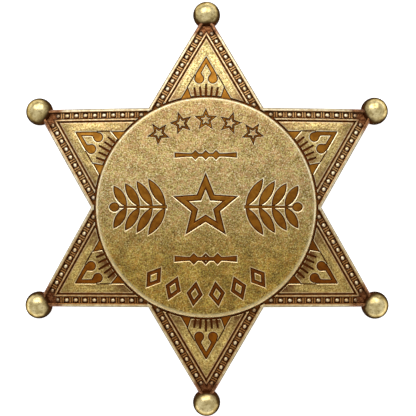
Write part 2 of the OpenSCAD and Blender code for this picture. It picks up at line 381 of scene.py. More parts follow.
def arc(centre, r, start, end, steps):
    """Points from angle start to angle end, in degrees."""
    angles = [radians(start + (end - start) * i / steps) for i in range(steps + 1)]
    return [(centre[0] + r * cos(a), centre[1] + r * sin(a)) for a in angles]


lobe_arc = arc((LOBE_X, LOBE_Y), LOBE_R, LOBE_FROM, LOBE_TO, LOBE_STEPS)
lobe_along = Vector((LOBE_X, LOBE_Y)).dot(EDGE_WAY)
blunt_point = (TIP_BLUNT * EDGE_OUT.y / EDGE_OUT.x, FIELD_TIP - TIP_BLUNT)
above_lobe = tuple(EDGE_OUT * FIELD_R + EDGE_WAY * (lobe_along + ABOVE_LOBE))
band_side = [blunt_point, above_lobe] + lobe_arc + [SPADE_SHOULDER]
band = [(-x, y) for x, y in band_side] + [SPADE_TIP] + band_side[::-1]
print(f"band of {len(band)} corners, lobes at x = {LOBE_X:.2f}, y = {LOBE_Y:.2f} mm")

# %% [markdown]
# ## Corner triangles and rays
#
# Beside the disc, each arm has five short dark rays between two triangles of enamel. Turned about
# the badge's middle, rays this close would hardly spread, and the real ones do. So they fan out
# from a point about halfway to the disc's edge. They run on under the disc, so that no gap shows
# there. Cutters in one boolean must not touch, so the fan stays clear of the triangles.

# %% Corner triangles
CORNER_H = 1.9
CORNER_X = 2.65


def field_x(y):
    """Where the side of an arm's field lies at this height."""
    return (FIELD_R - y * EDGE_OUT.y) / EDGE_OUT.x


corner_top = (field_x(DISC_R + CORNER_H), DISC_R + CORNER_H)
corner_slope = (corner_top[0] - CORNER_X) / CORNER_H
low_y = DISC_R - CORNER_H
triangle = [corner_top, (CORNER_X - corner_slope * CORNER_H, low_y), (field_x(low_y), low_y)]
triangles = (triangle, mirrored(triangle))
print("triangle corners:", [tuple(round(part, 2) for part in corner) for corner in triangle])

# %% Rays
SIDE_RAYS = 2
RAY_W = 0.46
RAY_TOP_SHARE = 0.65
RAY_STEP = 5.0
RAY_FAN = (0.0, 9.5)
RAY_L = 2.4
SIDE_RAY_L = 1.9
RAY_H = -0.3
RAY_LIP = 0.04
UNDER_DISC = 1.0


def ray(i):
    """The outline of one ray, counted from the middle one."""
    half, low = RAY_W / 2, DISC_R - UNDER_DISC
    top_y = DISC_R + (RAY_L if i == 0 else SIDE_RAY_L)
    upright = [(-half, low), (half, low), (half * RAY_TOP_SHARE, top_y),
               (-half * RAY_TOP_SHARE, top_y)]
    return turned(upright, radians(i * RAY_STEP), RAY_FAN)


cutters = [cutter("band_cut", band, RECESS_H, LIP_W)]
cutters += [cutter("corner_cut", side, RECESS_H, LIP_W) for side in triangles]
cutters += [cutter("ray_cut", ray(i), RAY_H, RAY_LIP, lip_finish=DARK)
            for i in range(-SIDE_RAYS, SIDE_RAYS + 1)]
arm_cuts = join("arm_cuts", cutters)
copies_round(arm_cuts)
print("arm cutters:", len(arm_cuts.data.polygons), "faces")

# %% [markdown]
# ## Thin lines and the seat
#
# A thin engraved line joins each lobe to its triangle, along the side of the field. It could be
# part of the band's outline, but then it would get the band's wide lip. So it has a narrow cutter
# of its own, used after the others because it overlaps them. The seat is the shallow round pocket
# that the disc is let into. No corner of its circle lies on the mitre lines at the star's waists,
# where it would leave slivers.

# %% Line and seat cutters
LINE_W = 0.18
LINE_H = -0.3
LINE_LIP = 0.03
LINE_OVERLAP = 0.3
SEAT_LIP = 0.06
SEAT_FROM, SEAT_TO, SEAT_STEPS = 1, 359, 179
line_from = (corner_top[1] - FIELD_R * EDGE_OUT.y) / EDGE_WAY.y - LINE_OVERLAP
line_to = lobe_along + LINE_OVERLAP
line = [tuple(EDGE_OUT * (FIELD_R + side * LINE_W / 2) + EDGE_WAY * s)
        for side, s in ((-1, line_from), (1, line_from), (1, line_to), (-1, line_to))]
line_cuts = join("line_cuts", [cutter("line_cut", side, LINE_H, LINE_LIP, lip_finish=DARK)
                               for side in (line, mirrored(line))])
copies_round(line_cuts)
seat_circle = arc((0, 0), SEAT_R, SEAT_FROM, SEAT_TO, SEAT_STEPS)
seat_cut = cutter("seat_cut", seat_circle, -SEAT_DEPTH, SEAT_LIP)
print(f"lines {line_to - line_from:.2f} mm long")

# %% Cut the star
for cuts in (arm_cuts, line_cuts, seat_cut):
    cuts_name = cuts.name
    cut(star, cuts)
    print("star after", cuts_name, "has", len(star.data.polygons), "faces")

# %% [markdown]
# ## Beads
#
# Every edge of an arm has a row of ten round beads in its sunk channel. They were cast with the
# star, and rubbing keeps their tops bright. An array along a curve could set them out, but each
# row is straight and short. So one ball is cut flat under the channel's floor, copied along a row,
# mirrored by its place, and the pair of rows is copied round.

# %% Row of beads
BEADS = 10
BEAD_R = 0.425
BEAD_RISE = 0.1
BEAD_CUT = -0.2
BEAD_PITCH = 1.715
BEAD_FIRST = 11.7
BEAD_LINE_D = 1.21
WELD = 1e-5


def on_channel(s):
    """The place at this distance along the line of beads of the top arm's right edge."""
    place = EDGE_OUT * (EDGE - BEAD_LINE_D) + EDGE_WAY * s
    return place.x, place.y


bpy.ops.object.select_all(action="DESELECT")
bpy.ops.mesh.primitive_uv_sphere_add(segments=20, ring_count=12, radius=BEAD_R)
bead = named("beads")
set_slots(bead, bead_brass)
edit(bead)
bpy.ops.mesh.bisect(plane_co=(0, 0, BEAD_CUT), plane_no=(0, 0, 1), clear_inner=True,
                    use_fill=True, threshold=WELD)
bpy.ops.object.mode_set(mode="OBJECT")
row = []
for i in range(BEADS):
    x, y = on_channel(BEAD_FIRST + i * BEAD_PITCH)
    for side in (-1, 1):
        one = bead.copy()
        one.data = bead.data.copy()
        bpy.context.scene.collection.objects.link(one)
        one.location = (side * x, y, CHANNEL_H + BEAD_RISE)
        row.append(one)
bpy.data.objects.remove(bead)
only(*row)
bpy.ops.object.transform_apply()
beads = join("beads", row)
copies_round(beads)
print("beads:", len(beads.data.polygons), "faces")

# %% [markdown]
# ## Cross bars
#
# Two small bars stand across the channel between one bead and the next. At 0.2 mm they are the
# finest cast detail. A texture would fake them from above, but their sides catch light, so they
# are solids. Each is a block with its root in the channel's floor, set square to the edge.

# %% Pairs of bars
BAR_W = 0.2
BAR_GAP = 0.2
BAR_L = 0.98
BAR_TOP_H = -0.2
BAR_ROOT = 0.1
bars = []
for i in range(BEADS - 1):
    for step in (-1, 1):
        for side in (-1, 1):
            x, y = on_channel(BEAD_FIRST + (i + 0.5) * BEAD_PITCH + step * (BAR_W + BAR_GAP) / 2)
            bpy.ops.object.select_all(action="DESELECT")
            bpy.ops.mesh.primitive_cube_add(size=1)
            bar = named("bars")
            bar.scale = (BAR_L, BAR_W, BAR_TOP_H - CHANNEL_H + BAR_ROOT)
            bar.location = (side * x, y, (BAR_TOP_H + CHANNEL_H - BAR_ROOT) / 2)
            bar.rotation_euler = (0, 0, side * EDGE_TURN)
            bars.append(bar)
only(*bars)
bpy.ops.object.transform_apply()
bars = join("bars", bars)
set_slots(bars, bar_brass)
copies_round(bars)
print("bars:", len(bars.data.polygons) // 6)

# %% [markdown]
# ## The centre disc
#
# The disc is a turned plate with a rounded rim, worn bright just inside its edge. A spun profile
# would give it too, with a pole in the middle that the cuts dislike. Here a flat blank is extruded
# and its rim is rounded by insets that follow a quarter circle, so the face stays one polygon.

# %% Disc blank
DISC_SIDES = 192
DISC_BACK_H = -SEAT_DEPTH + FIT_GAP
DISC_PLATE_R = DISC_R - 0.13
RIM_W = 0.7
RIM_H = 0.45
RIM_STEPS = 7
WORN_RIM_STEPS = (4, 5)
disc_circle = arc((0, 0), DISC_PLATE_R, 0, 360 * (1 - 1 / DISC_SIDES), DISC_SIDES - 1)
disc = outline("disc_plate", disc_circle, DISC_BACK_H)
set_slots(disc, disc_brass, edge_brass, dark_brass)
edit(disc)
extrude(DISC_RISE - RIM_H - DISC_BACK_H)
pick(disc, max)
done_in, done_up = 0.0, 0.0
for i in range(1, RIM_STEPS + 1):
    turn = radians(90 * i / RIM_STEPS)
    go_in, go_up = RIM_W * (1 - cos(turn)), RIM_H * sin(turn)
    finish_as(disc, LIP if i in WORN_RIM_STEPS else FACE)
    bpy.ops.mesh.inset(thickness=go_in - done_in, depth=go_up - done_up)
    done_in, done_up = go_in, go_up
finish_as(disc, FACE)
bpy.ops.object.mode_set(mode="OBJECT")
print("disc blank:", len(disc.data.polygons), "faces")

# %% [markdown]
# ## Motifs of the disc
#
# The disc's ornament is a big star between two laurel sprigs, an arc of small stars above, an arc
# of lozenges below, and two bars with diamonds. A texture could draw them, but it would have no
# edges to catch the light, so they are recesses like those of the arms. A star or lozenge has an
# island in it, so its enamel is a ring.

# %% Motif sizes
BIG_STAR, BIG_CORE = 6.2, 3.1
STAR_POINTS = 5
STAR_WAIST = 0.44
RING_R = 15.7
SMALL_STAR, SMALL_CORE = 2.2, 0.9
SIDE_STARS, STAR_STEP = 2, 16.3
LOZENGES, LOZENGE_STEP = 6, 14.6
LOZENGE_W, LOZENGE_H, LOZENGE_CORE = 1.5, 2.3, 1.0
SPRIG_X, SPRIG_L, STEM_W = 6.9, 8.9, 0.7
LEAF_PAIRS, LEAF_PITCH, LEAF_START = 4, 2.35, 0.1
LEAF_L, LEAF_W, LEAF_ANGLE, LEAF_TAPER = 6.0, 1.75, 58, 0.08
END_LEAF_SHARE = 0.33
BAR_Y, BAR_HALF, BAR_H, BAR_END_H = 9.3, 5.6, 0.33, 0.5
BAR_FLARE_SHARE, LOWER_BAR_BOLD = 0.6, 1.15
DIAMOND, DIAMOND_PITCH, DIAMOND_CORE_SHARE = 0.93, 1.85, 0.5
print("motifs reach", RING_R + LOZENGE_H, "of the disc's", DISC_PLATE_R, "mm")


# %% Motif outlines
def moved(corners, x, y):
    return [(px + x, py + y) for px, py in corners]


def lozenge(w, h):
    return [(0, h), (-w, 0), (0, -h), (w, 0)]


def leaf(length, steps=10):
    """A pointed leaf from the origin along +X, between two arcs."""
    r = (length ** 2 + LEAF_W ** 2) / (4 * LEAF_W)
    half = degrees(asin(length / 2 / r))
    lower = arc((length / 2, r - LEAF_W / 2), r, 270 - half, 270 + half, steps)
    upper = arc((length / 2, LEAF_W / 2 - r), r, 90 - half, 90 + half, steps)
    return lower[:-1] + upper[:-1]


print("a leaf has", len(leaf(LEAF_L)), "corners")

# %% [markdown]
# The two leaves of a pair meet on their stem, and the diamonds lie across their bar. All could be
# cut at one depth, but doubled floors upset a boolean and doubled enamel flickers. So the motifs
# are sorted into three groups, each cut slightly deeper than the one before, and their enamel lies
# slightly higher in the same order.

# %% Motif groups
MOTIF_DEPTH = 0.4
GROUP_STEP = 0.02
FIRST, SECOND, THIRD = range(3)
groups = [[], [], []]
fills = []


def motif(group, name, corners, core=None, edge=0.2, lip=LIP_W):
    """A cutter for a recess in the disc, and a note of the enamel that will fill it."""
    step = GROUP_STEP * group
    floor_h = DISC_RISE - MOTIF_DEPTH - step
    groups[group].append(cutter(name + "_cut", corners, floor_h, lip, DISC_RISE, core))
    fills.append((name + "_cell", corners, step / 2, edge, core))


print("a motif is cut", MOTIF_DEPTH, "mm deep")

# %% Stars and lozenges
motif(FIRST, "big_star", star_corners(BIG_STAR, STAR_WAIST, STAR_POINTS),
      star_corners(BIG_CORE, STAR_WAIST, STAR_POINTS))
for i in range(-SIDE_STARS, SIDE_STARS + 1):
    angle = radians(STAR_STEP * i)
    corners = moved(star_corners(SMALL_STAR, STAR_WAIST, STAR_POINTS), 0, RING_R)
    core = moved(star_corners(SMALL_CORE, STAR_WAIST, STAR_POINTS), 0, RING_R)
    motif(FIRST, "small_star", turned(corners, angle), turned(core, angle), edge=0.08, lip=0.04)
core_share = LOZENGE_CORE / LOZENGE_H
for i in range(LOZENGES):
    angle = radians(LOZENGE_STEP * (i - (LOZENGES - 1) / 2))
    corners = moved(lozenge(LOZENGE_W, LOZENGE_H), 0, -RING_R)
    core = moved(lozenge(LOZENGE_W * core_share, LOZENGE_CORE), 0, -RING_R)
    motif(FIRST, "lozenge", turned(corners, angle), turned(core, angle), edge=0.14)
print("stars and lozenges:", len(groups[FIRST]), "cutters")

# %% Laurel sprigs
for side in (0, math.pi):
    for i in range(LEAF_PAIRS):
        foot = SPRIG_X + LEAF_PITCH * (i + LEAF_START)
        for up, group in ((1, FIRST), (-1, SECOND)):
            shape = turned(leaf(LEAF_L * (1 - LEAF_TAPER * i)), up * radians(LEAF_ANGLE))
            motif(group, "leaf", turned(moved(shape, foot, 0), side), edge=0.14)
    end_leaf = moved(leaf(LEAF_L * END_LEAF_SHARE), SPRIG_X + SPRIG_L - STEM_W / 2, 0)
    motif(FIRST, "end_leaf", turned(end_leaf, side), edge=0.1)
    half = STEM_W / 2
    stem = [(0, half), (0, -half), (SPRIG_L, -half / 2), (SPRIG_L, half / 2)]
    motif(THIRD, "stem", turned(moved(stem, SPRIG_X, 0), side), edge=0.05)
print("sprigs:", 2 * (2 * LEAF_PAIRS + 1), "leaves")

# %% Bars with diamonds
for y, bold in ((BAR_Y, 1.0), (-BAR_Y, LOWER_BAR_BOLD)):
    flare, half, end = BAR_HALF * BAR_FLARE_SHARE, BAR_H * bold, BAR_END_H * bold
    right = [(flare, -half), (BAR_HALF, -end), (BAR_HALF, end), (flare, half)]
    motif(SECOND, "bar", moved(right + mirrored(right), 0, y), edge=0.12)
    size, pitch = DIAMOND * bold, DIAMOND_PITCH * bold
    for i in (-1, 0, 1):
        diamond = moved(lozenge(size, size), i * pitch, y)
        core_size = size * DIAMOND_CORE_SHARE
        core = moved(lozenge(core_size, core_size), i * pitch, y)
        hollow = y < 0 and i == 0
        motif(FIRST, "diamond", diamond, core if hollow else None, edge=0.08)
print("cutters in the three groups:", [len(group) for group in groups])

# %% Cut the disc
for group in groups:
    cut(disc, join("motif_cuts", group), overlaps=True)
    print("disc:", len(disc.data.polygons), "faces")

# %% [markdown]
# Where cutters cross, the booleans leave slivers a few thousandths of a millimetre wide. They could
# be picked out by hand, as a caster files off flash. Here near points are merged, and a face that
# still has an open edge is deleted, so that the plate is one closed shell.

# %% Clean the disc
SLIVER = 0.004
edit(disc)
bpy.ops.mesh.remove_doubles(threshold=SLIVER)
bpy.ops.mesh.dissolve_degenerate(threshold=SLIVER)
bpy.ops.mesh.select_all(action="DESELECT")
mesh = bmesh.from_edit_mesh(disc.data)
for face in mesh.faces:
    face.select_set(any(len(edge.link_faces) == 1 for edge in face.edges))
bmesh.update_edit_mesh(disc.data)
bpy.ops.mesh.delete(type="FACE")
bpy.ops.object.mode_set(mode="OBJECT")
print("disc without slivers:", len(disc.data.polygons), "faces")

# %% [markdown]
# ## Enamel
#
# The fill lies a little below the lips. Melted enamel is thin along the walls, so the dark metal
# shows through there as a brown outline, and it swells towards the middle. One sheet across the
# whole recess would be simpler, but it would have no swell. So each cell is the outline of its
# recess, extruded, with an inset for the outline and another for the swell.

# %% One cell of enamel
CELL_GAP = 0.03
CELL_T = 0.17
EDGE_SWELL = 0.02
MIDDLE_SWELL = 0.03
ENAMEL, ENAMEL_EDGE = range(2)


def ring_between(name, piece, core, h):
    """Turn a flat piece into a ring round a core."""
    piece = join(name, [piece, outline("inner", moved_in(core, -CELL_GAP), h)])
    edit(piece)
    bpy.ops.mesh.delete(type="ONLY_FACE")
    bpy.ops.mesh.select_mode(type="EDGE")
    bpy.ops.mesh.select_all(action="SELECT")
    bpy.ops.mesh.bridge_edge_loops()
    bpy.ops.mesh.select_mode(type="FACE")
    return piece


def cell(name, corners, top_h, edge, core=None):
    piece = outline(name, moved_in(corners, CELL_GAP), top_h - CELL_T)
    if core:
        piece = ring_between(name, piece, core, top_h - CELL_T)
    set_slots(piece, enamel, enamel_edge)
    edit(piece)
    finish_as(piece, ENAMEL_EDGE)
    extrude(CELL_T)
    bpy.ops.mesh.inset(thickness=edge, depth=EDGE_SWELL)
    finish_as(piece, ENAMEL)
    bpy.ops.mesh.inset(thickness=edge / 2, depth=MIDDLE_SWELL)
    bpy.ops.mesh.select_all(action="SELECT")
    bpy.ops.mesh.normals_make_consistent(inside=False)
    bpy.ops.object.mode_set(mode="OBJECT")
    return piece


print("enamel cells are", CELL_T + EDGE_SWELL + MIDDLE_SWELL, "mm thick in the middle")

# %% Fill the star and the disc
CELL_H = -0.2
ARM_CELL_EDGE = 0.1
arm_cells = [cell("band_cell", band, CELL_H, ARM_CELL_EDGE)]
arm_cells += [cell("corner_cell", side, CELL_H, ARM_CELL_EDGE) for side in triangles]
star_cells = join("star_fill", arm_cells)
copies_round(star_cells)
disc_cells = join("disc_fill", [cell(name, corners, DISC_RISE + CELL_H + lift, edge, core)
                                for name, corners, lift, edge, core in fills])
print("enamel:", len(star_cells.data.polygons), "and", len(disc_cells.data.polygons), "faces")

# %% [markdown]
# ## Bend to the dome
#
# The real star is a shallow dome. A simple deform modifier bends a sheet about one axis only, so
# a small Geometry Nodes group moves each point of the sheet up to its place on a sphere. Long
# faces would stay flat in the bend, so a grid of bisect cuts divides them.

# %% Grid
GRID = 2.6
GRID_START = 0.17


def divide(piece, reach_x, reach_y):
    for axis, reach in (((1, 0, 0), reach_x), ((0, 1, 0), reach_y)):
        cuts = int(2 * reach / GRID)
        for i in range(cuts + 1):
            at = -reach + GRID_START + i * GRID
            edit(piece)
            bpy.ops.mesh.bisect(plane_co=[at * part for part in axis], plane_no=axis,
                                threshold=WELD)
    bpy.ops.object.mode_set(mode="OBJECT")


print("grid of", GRID, "mm")


# %% Bend
def dome_group():
    """A node group that puts h above a flat place at h above the dome there, in metres."""
    tree = bpy.data.node_groups.new("bend_to_dome", "GeometryNodeTree")
    tree.interface.new_socket("Geometry", in_out="INPUT", socket_type="NodeSocketGeometry")
    tree.interface.new_socket("Geometry", in_out="OUTPUT", socket_type="NodeSocketGeometry")
    new, link = tree.nodes.new, tree.links.new

    def calc(way, a, b=None):
        node = new("ShaderNodeMath")
        node.operation = way
        for socket, value in zip(node.inputs, (a, b)):
            if isinstance(value, (int, float)):
                socket.default_value = value
            elif value is not None:
                link(value, socket)
        return node.outputs[0]

    start, end = new("NodeGroupInput"), new("NodeGroupOutput")
    place, split = new("GeometryNodeInputPosition"), new("ShaderNodeSeparateXYZ")
    link(place.outputs[0], split.inputs[0])
    x, y, h = split.outputs
    level = calc("POWER", calc("ADD", h, DOME_R), 2.0)
    flat = calc("ADD", calc("MULTIPLY", x, x), calc("MULTIPLY", y, y))
    z = calc("ADD", calc("SQRT", calc("SUBTRACT", level, flat)), DOME_Z)
    bent = new("ShaderNodeCombineXYZ")
    for socket, value in zip(bent.inputs, (x, y, z)):
        link(calc("MULTIPLY", value, MM), socket)
    move = new("GeometryNodeSetPosition")
    link(start.outputs[0], move.inputs["Geometry"])
    link(bent.outputs[0], move.inputs["Position"])
    link(move.outputs[0], end.inputs[0])
    return tree


STAR_REACH = (32, 36.5)
DISC_REACH = (20, 20)
bend = dome_group()
star = join("cast_star", [star, beads, bars])
for piece, reach in ((star, STAR_REACH), (disc, DISC_REACH), (star_cells, STAR_REACH),
                     (disc_cells, DISC_REACH)):
    divide(piece, *reach)
    tool = piece.modifiers.new("dome", "NODES")
    tool.node_group = bend
    finish_with(piece, tool)
    print(piece.name, "bent:", len(piece.data.polygons), "faces")

# %% [markdown]
# ## Ball tips
#
# A polished round ball sits on every point. The balls could be bent with the sheet, but that would
# lean them over and stretch them, so they join afterwards. Smooth shading up to 22 degrees rounds
# the balls, the beads, the disc's rim and the rail's outer slope, and keeps lips and walls crisp.

# %% Balls
SMOOTH_ANGLE = 22
ball_z = DOME_Z + BALL_UP_DOME
bpy.ops.object.select_all(action="DESELECT")
bpy.ops.mesh.primitive_uv_sphere_add(segments=64, ring_count=32, radius=BALL_R,
                                     location=(0, BALL_AT, ball_z))
balls = named("tip_balls")
set_slots(balls, ball_brass)
bpy.ops.object.transform_apply()
copies_round(balls)
edit(balls)
bpy.ops.transform.resize(value=(MM, MM, MM), center_override=(0, 0, 0))
star = join("cast_star", [star, balls])
for piece in (star, disc):
    only(piece)
    bpy.ops.object.shade_smooth_by_angle(angle=radians(SMOOTH_ANGLE))
print("star:", len(star.data.polygons), "faces; balls at z =", round(ball_z, 3))

# %% [markdown]
# ## Finishes
#
# The look is antiqued brass. Its patina is not painted on: it is what the rubbing left, so it
# stays where a cloth can't reach. Ambient occlusion finds those corners, and noise in several
# sizes breaks up the colour as cast metal does. A picture could be wrapped round the badge
# instead, but nodes that read the place in millimetres keep their scale on every piece.

# %% Node helpers
class Nodes:
    """A material's nodes, with positions in millimetres."""

    def __init__(self, material):
        material.use_nodes = True
        self.tree = material.node_tree
        self.tree.nodes.clear()
        place = self.add("ShaderNodeTexCoord").outputs["Object"]
        self.mm = self.add("ShaderNodeVectorMath", {0: place, "Scale": 1 / MM}, operation="SCALE")

    def add(self, kind, inputs=None, **settings):
        node = self.tree.nodes.new(kind)
        for name, value in settings.items():
            setattr(node, name, value)
        for name, value in (inputs or {}).items():
            self.feed(node.inputs[name], value)
        return node

    def feed(self, socket, value):
        """Give a socket a constant, or link it to a node or to another socket."""
        if isinstance(value, bpy.types.Node):
            value = value.outputs[0]
        if isinstance(value, bpy.types.NodeSocket):
            self.tree.links.new(value, socket)
        else:
            socket.default_value = value

    def calc(self, operation, a, b=0.0):
        return self.add("ShaderNodeMath", {0: a, 1: b}, operation=operation)

    def along(self, axis):
        """The place along one axis, in millimetres."""
        return self.add("ShaderNodeSeparateXYZ", {0: self.mm}).outputs[axis]

    def fit(self, value, low, high, to_low=0.0, to_high=1.0, smooth=True):
        way = "SMOOTHSTEP" if smooth else "LINEAR"
        return self.add("ShaderNodeMapRange", {0: value, 1: low, 2: high, 3: to_low, 4: to_high},
                        interpolation_type=way)

    def noise(self, per_mm, detail=3.0, roughness=0.6, shift=(0, 0, 0), place=None):
        place = self.add("ShaderNodeVectorMath", {0: place or self.mm, 1: shift}, operation="ADD")
        return self.add("ShaderNodeTexNoise", {"Vector": place, "Scale": per_mm, "Detail": detail,
                                               "Roughness": roughness})

    def mix(self, share, a, b, blend="MIX"):
        node = self.add("ShaderNodeMix", data_type="RGBA", blend_type=blend)
        for name, value in (("Factor", share), ("A", a), ("B", b)):
            kind = "VALUE" if name == "Factor" else "RGBA"
            self.feed(next(s for s in node.inputs if s.name == name and s.type == kind), value)
        return next(s for s in node.outputs if s.type == "RGBA")

    def tinted(self, colour, tint, share=1.0):
        """A colour multiplied by a tint, as far as the share says."""
        return self.mix(share, colour, tint, "MULTIPLY")

    def mix_value(self, share, a, b):
        return self.add("ShaderNodeMix", {0: share, 2: a, 3: b}, data_type="FLOAT").outputs[0]

    def openness(self, reach_mm):
        """How much of the sky a point sees within this reach: 0 in a corner, 1 in the open."""
        return self.add("ShaderNodeAmbientOcclusion", {"Distance": reach_mm * MM},
                        samples=8).outputs["AO"]

    def surface(self, colour, metallic, roughness, bump=None, bump_mm=0.01, **sockets):
        inputs = {"Base Color": colour, "Metallic": metallic, "Roughness": roughness, **sockets}
        if bump is not None:
            inputs["Normal"] = self.add("ShaderNodeBump", {"Strength": 1.0, "Distance": bump_mm * MM,
                                                           "Height": bump}).outputs["Normal"]
        shader = self.add("ShaderNodeBsdfPrincipled", inputs)
        self.add("ShaderNodeOutputMaterial", {"Surface": shader})


def tone(red, green, blue):
    """A colour given as it shows on screen, 0 to 255."""
    return tuple(((c / 255 + 0.055) / 1.055) ** 2.4 if c > 10 else c / 255 / 12.92
                 for c in (red, green, blue)) + (1.0,)


print("screen grey 128 is", round(tone(128, 128, 128)[0], 3), "of full light")

# %% [markdown]
# ## Rubbing, patina and painted light by half
#
# Three things hold for most metals here. The upper half of the badge is painted paler and the
# lower half darker: painted light and shade of the soft box above. The necks beside the balls
# keep their reddish cast skin. Corners keep the patina, which is duller as well as darker. Each
# metal could get them anew, but then they would drift apart, so each is one small function that
# the metals share.

# %% Shared wear and painted light
UMBER = tone(88, 48, 20)
RUST, RUBBED_RUST = tone(84, 44, 22), tone(154, 104, 66)
METALLIC = 0.97
DULL = 0.65
HALF_FROM, HALF_TO = -14.0, 4.0
NECK_FROM, NECK_TO = 31.0, 32.2


def from_axis(n):
    """Distance from the badge's axis in millimetres."""
    flat = n.add("ShaderNodeVectorMath", {0: n.mm, 1: (1, 1, 0)}, operation="MULTIPLY")
    return n.add("ShaderNodeVectorMath", {0: flat}, operation="LENGTH").outputs["Value"]


def upper_half(n):
    """0 on the lower half of the badge and 1 on the upper one."""
    return n.fit(n.along("Y"), HALF_FROM, HALF_TO)


def by_half(n, below, above):
    """One value on the lower half of the badge and another on the upper one."""
    return n.fit(upper_half(n), 0.0, 1.0, below, above)


# painted light and shade: one tint for the lit upper half, another for the shaded lower half
def shaded_by_half(n, colour, upper, lower):
    return n.tinted(colour, n.mix(upper_half(n), (*lower, 1), (*upper, 1)))


def rough_neck(n):
    """The reddish cast skin beside the balls, which no cloth reaches."""
    return n.mix(n.fit(n.noise(2.6, 4.0, 0.7, (2, 5, 0)), 0.42, 0.62), RUST, RUBBED_RUST)


def antiqued(n, colour, rubbed_share, polish, bump, bump_mm, **sockets):
    """Bare metal where it is rubbed, dull brown patina where it isn't."""
    colour = n.mix(rubbed_share, UMBER, colour)
    n.surface(colour, METALLIC, n.mix_value(rubbed_share, DULL, polish), bump, bump_mm, **sockets)


print("necks keep their cast skin from", NECK_FROM, "mm out")

# %% [markdown]
# ## Rubbed faces
#
# The flat faces of the star and disc are golden with olive grain, pink or amber blushes and small
# spots and flecks. Drawn scratches would look too clean. So each layer is one noise, mixed over
# the last in this order: metal, blush, patina in the pits, painted light and shade by half,
# clouds, bare flecks. The flecks are paler on the upper half, as part of that painted light.

# %% Layers of a rubbed face
GOLD, OLIVE = tone(216, 198, 126), tone(138, 112, 48)
PINK, AMBER_GOLD = tone(206, 160, 112), tone(198, 154, 78)
PATINA = tone(110, 68, 28)
FLECK_BELOW, FLECK_ABOVE = tone(212, 186, 118), tone(232, 216, 170)
GRAIN_SPAN = 0.14
CLOUD_DARK, CLOUD_PALE = (0.84, 0.81, 0.76, 1), (1.14, 1.15, 1.18, 1)


def rubbed(material, wear, contrast, blush_share, upper, lower):
    """Worn face metal. Its wear is a function that adds what this piece alone shows."""
    n = Nodes(material)
    grain = n.noise(3.6, 2.0, 0.6)
    spots = n.noise(5.0, 2.0, 0.6, (3, 8, 0))
    blush = n.noise(1.3, 4.0, 0.7, (7, 3, 0))
    span = GRAIN_SPAN / contrast
    colour = n.mix(n.fit(grain, 0.5 - span, 0.5 + span), OLIVE, GOLD)
    blush_tone = n.mix(upper_half(n), AMBER_GOLD, PINK)
    colour = n.mix(n.fit(blush, 0.44, 0.60, 0.0, blush_share), colour, blush_tone)
    colour = n.mix(n.fit(spots, 0.56, 0.68, 0.0, 0.9), colour, PATINA)
    # painted light and shade by half
    colour = shaded_by_half(n, colour, upper, lower)
    cloud = n.noise(0.45, 3.0, 0.6, (1, 6, 0))
    colour = n.tinted(colour, n.mix(n.fit(cloud, 0.38, 0.62), CLOUD_DARK, CLOUD_PALE))
    flecks = n.noise(4.4, 1.0, 0.5, (9, 1, 0))
    # flecks paler on the upper half: part of the painted light
    fleck_tone = n.mix(upper_half(n), FLECK_BELOW, FLECK_ABOVE)
    colour = n.mix(n.fit(flecks, 0.55, 0.70, 0.0, 0.45 + 0.25 * contrast), colour, fleck_tone)
    colour = wear(n, colour, blush)
    antiqued(n, colour, n.fit(n.openness(0.7), 0.50, 0.92), n.fit(grain, 0.3, 0.7, 0.46, 0.34),
             grain, 0.025 * contrast, **{"Coat Weight": 0.3, "Coat Roughness": 0.25})


print("a rubbed face has six layers")


# %% [markdown]
# The disc was handled most. Its lower half has broad worn and dull patches, its edge is rubbed to
# a pale ring, and it is made darker towards the top. Separate materials would meet in hard lines,
# so each of these is a layer with a soft edge.

# %% Wear of the disc
PATCH_DARK, PATCH_PALE = (0.78, 0.76, 0.60, 1), (1.16, 1.14, 1.04, 1)
PALE_EDGE = tone(224, 214, 166)
WORN_EDGE_FROM, WORN_EDGE_TO = DISC_PLATE_R - 0.9, DISC_PLATE_R - 0.3
# the disc is made darker towards its top
DARKEN_FROM, DARKEN_TO, DARKEN_SHARE = 8.0, 18.0, 0.3


def disc_wear(n, colour, _blush):
    patches = n.noise(0.35, 3.0, 0.6, (5, 2, 0))
    patches = n.mix(n.fit(patches, 0.42, 0.58), PATCH_DARK, PATCH_PALE)
    colour = n.tinted(colour, patches, by_half(n, 0.9, 0.0))
    worn_edge = n.fit(from_axis(n), WORN_EDGE_FROM, WORN_EDGE_TO)
    worn_edge = n.calc("MULTIPLY", worn_edge, by_half(n, 0.6, 0.2))
    colour = n.mix(worn_edge, colour, PALE_EDGE)
    # darker towards the top of the disc
    top_darkening = n.fit(n.along("Y"), DARKEN_FROM, DARKEN_TO, 0.0, DARKEN_SHARE)
    return n.mix(top_darkening, colour, n.mix(worn_edge, PATINA, colour))


# the last two tints: painted light on the upper half, painted shade on the lower half
rubbed(disc_brass, disc_wear, 1.6, 0.75, (0.78, 0.77, 0.70), (0.68, 0.60, 0.31))
print("disc finish:", len(disc_brass.node_tree.nodes), "nodes")

# %% [markdown]
# The star's panel frames were polished along their length, so their streaks follow the edges. Each
# edge could have streaks of its own, but all are one edge turned about the axis. So folding the
# angle into one twelfth of a turn gives the distances across and along the nearest edge. The top
# arm is painted paler and whiter, a painted sheen of the soft box above it, and the bottom arm is
# made paler. The level frames of the upper arms are a little darker. A brown ring round the disc,
# stronger below it, is patina with the disc's painted shadow.

